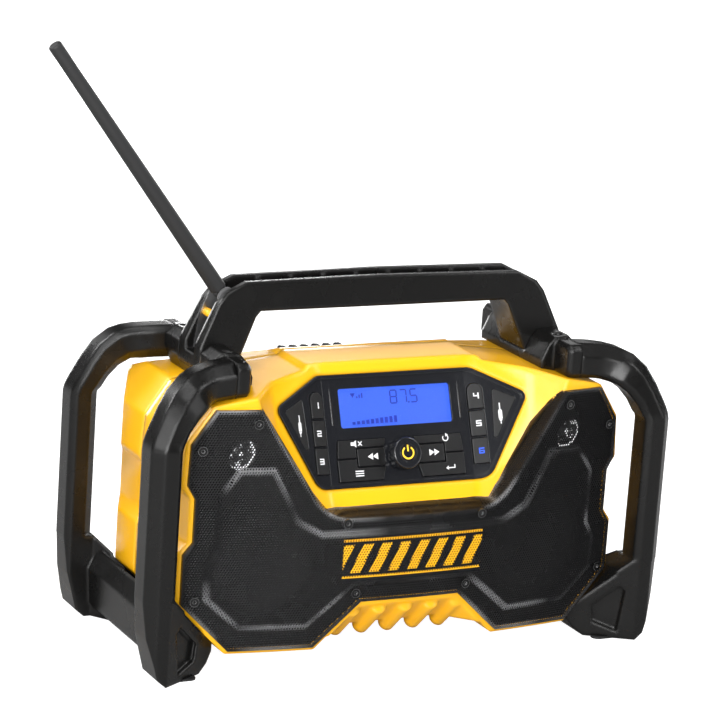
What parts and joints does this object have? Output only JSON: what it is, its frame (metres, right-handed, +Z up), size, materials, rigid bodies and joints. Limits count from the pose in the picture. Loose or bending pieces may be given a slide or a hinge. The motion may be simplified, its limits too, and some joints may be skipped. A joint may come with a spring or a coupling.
{
  "type": "jobsite radio",
  "caption": "Rugged jobsite radio with wide perforated grille, angled control panel, roll-cage side bars, carrying handle and folding rubber antenna.",
  "frame": {"origin": "on the ground, under the middle of the four foot pads", "axes": "+X to the radio's right as seen from the front, -Y towards the front, +Z up"},
  "size_m": [0.5023, 0.198, 0.4721],
  "materials": {
    "yellow_shell": "semi-gloss moulded",
    "black_frame": "fine textured",
    "black_plastic": "satin",
    "bezel": "satin gloss",
    "keys": "matte",
    "rubber": "matte",
    "grille_steel": "satin black paint",
    "steel": "satin",
    "window": "clear",
    "display": "backlit",
    "board": "solder mask",
    "cone": "pressed fibre",
    "magnet": "ferrite",
    "yellow_icon": "satin"
  },
  "bodies": {
    "radio_body": {"front_housing": "yellow_shell", "rear_housing": "yellow_shell", "housing_seal": "rubber", "housing_screws": "steel", "speaker_grille": "grille_steel", "grille_screws": "steel", "left_woofer_basket": "black_plastic", "left_woofer_cone": "cone", "left_woofer_magnet": "magnet", "left_tweeter": "cone", "right_woofer_basket": "black_plastic", "right_woofer_cone": "cone", "right_woofer_magnet": "magnet", "right_tweeter": "cone", "control_bezel": "bezel", "aux_jack_left": "black_plastic", "aux_jack_right": "black_plastic", "display_window": "window", "lcd_module": "display", "control_board": "board", "volume_encoder": "black_plastic", "main_board": "board", "power_supply": "board", "battery_bay": "black_plastic", "battery_terminals": "black_plastic", "door_hinge_pin": "steel", "cord_gland": "black_frame", "left_side_frame": "black_frame", "right_side_frame": "black_frame", "foot_pads": "rubber", "hub_screws": "steel", "left_hub": "black_frame", "right_hub": "black_frame", "top_handle": "black_frame", "antenna_bracket": "steel", "antenna_pin": "steel", "antenna_stop": "yellow_shell"},
    "antenna": {"antenna_knuckle": "black_frame", "antenna_whip": "rubber", "antenna_cap": "rubber"},
    "volume_knob": {"volume_knob": "bezel"},
    "power_button": {"power_button": "yellow_icon"},
    "preset_button_1": {"preset_button_1": "keys"},
    "preset_button_2": {"preset_button_2": "keys"},
    "preset_button_3": {"preset_button_3": "keys"},
    "preset_button_4": {"preset_button_4": "keys"},
    "preset_button_5": {"preset_button_5": "keys"},
    "preset_button_6": {"preset_button_6": "keys"},
    "mute_button": {"mute_button": "keys"},
    "menu_button": {"menu_button": "keys"},
    "mode_button": {"mode_button": "keys"},
    "enter_button": {"enter_button": "keys"},
    "seek_back_button": {"seek_back_button": "keys"},
    "seek_forward_button": {"seek_forward_button": "keys"},
    "aux_cover_left": {"aux_cover_left": "rubber"},
    "aux_cover_right": {"aux_cover_right": "rubber"},
    "battery_door": {"battery_door": "black_frame"},
    "door_latch": {"door_latch": "black_frame"}
  },
  "joints": [
    {"name": "antenna_tilt", "type": "hinge", "parent": "radio_body", "child": "antenna", "pos_m": [-0.1313, 0, 0.2765], "axis": [0, 1, 0], "range_deg": [-35, 127]},
    {"name": "volume_turn", "type": "hinge", "parent": "radio_body", "child": "volume_knob", "pos_m": [0, -0.061, 0.15833], "axis": [0, -0.9259, 0.3778], "continuous": true},
    {"name": "power_button_press", "type": "slide", "parent": "radio_body", "child": "power_button", "axis": [0, 0.9259, -0.3778], "range_m": [0, 0.001], "stiffness_N_per_m": 400, "springref_m": -0.0005},
    {"name": "preset_button_1_press", "type": "slide", "parent": "radio_body", "child": "preset_button_1", "axis": [-0.2954, 0.8846, -0.361], "range_m": [0, 0.001], "stiffness_N_per_m": 400, "springref_m": -0.0005},
    {"name": "preset_button_2_press", "type": "slide", "parent": "radio_body", "child": "preset_button_2", "axis": [-0.2954, 0.8846, -0.361], "range_m": [0, 0.001], "stiffness_N_per_m": 400, "springref_m": -0.0005},
    {"name": "preset_button_3_press", "type": "slide", "parent": "radio_body", "child": "preset_button_3", "axis": [-0.2954, 0.8846, -0.361], "range_m": [0, 0.001], "stiffness_N_per_m": 400, "springref_m": -0.0005},
    {"name": "preset_button_4_press", "type": "slide", "parent": "radio_body", "child": "preset_button_4", "axis": [0.2954, 0.8846, -0.361], "range_m": [0, 0.001], "stiffness_N_per_m": 400, "springref_m": -0.0005},
    {"name": "preset_button_5_press", "type": "slide", "parent": "radio_body", "child": "preset_button_5", "axis": [0.2954, 0.8846, -0.361], "range_m": [0, 0.001], "stiffness_N_per_m": 400, "springref_m": -0.0005},
    {"name": "preset_button_6_press", "type": "slide", "parent": "radio_body", "child": "preset_button_6", "axis": [0.2954, 0.8846, -0.361], "range_m": [0, 0.001], "stiffness_N_per_m": 400, "springref_m": -0.0005},
    {"name": "mute_button_press", "type": "slide", "parent": "radio_body", "child": "mute_button", "axis": [0, 0.9259, -0.3778], "range_m": [0, 0.001], "stiffness_N_per_m": 400, "springref_m": -0.0005},
    {"name": "menu_button_press", "type": "slide", "parent": "radio_body", "child": "menu_button", "axis": [0, 0.9259, -0.3778], "range_m": [0, 0.001], "stiffness_N_per_m": 400, "springref_m": -0.0005},
    {"name": "mode_button_press", "type": "slide", "parent": "radio_body", "child": "mode_button", "axis": [0, 0.9259, -0.3778], "range_m": [0, 0.001], "stiffness_N_per_m": 400, "springref_m": -0.0005},
    {"name": "enter_button_press", "type": "slide", "parent": "radio_body", "child": "enter_button", "axis": [0, 0.9259, -0.3778], "range_m": [0, 0.001], "stiffness_N_per_m": 400, "springref_m": -0.0005},
    {"name": "seek_back_button_press", "type": "slide", "parent": "radio_body", "child": "seek_back_button", "axis": [0, 0.9259, -0.3778], "range_m": [0, 0.001], "stiffness_N_per_m": 400, "springref_m": -0.0005},
    {"name": "seek_forward_button_press", "type": "slide", "parent": "radio_body", "child": "seek_forward_button", "axis": [0, 0.9259, -0.3778], "range_m": [0, 0.001], "stiffness_N_per_m": 400, "springref_m": -0.0005},
    {"name": "aux_cover_left_open", "type": "hinge", "parent": "radio_body", "child": "aux_cover_left", "pos_m": [-0.08137, -0.0573, 0.18366], "axis": [-0.0531, 0.3621, 0.9306], "range_deg": [0, 100]},
    {"name": "aux_cover_right_open", "type": "hinge", "parent": "radio_body", "child": "aux_cover_right", "pos_m": [0.08137, -0.0573, 0.18366], "axis": [-0.0531, -0.3621, -0.9306], "range_deg": [0, 100]},
    {"name": "battery_door_open", "type": "hinge", "parent": "radio_body", "child": "battery_door", "pos_m": [-0.011, 0.08185, 0.061], "axis": [-1, 0, 0], "range_deg": [0, 95]},
    {"name": "door_latch_slide", "type": "slide", "parent": "battery_door", "child": "door_latch", "axis": [0, 0, -1], "range_m": [0, 0.004]}
  ]
}
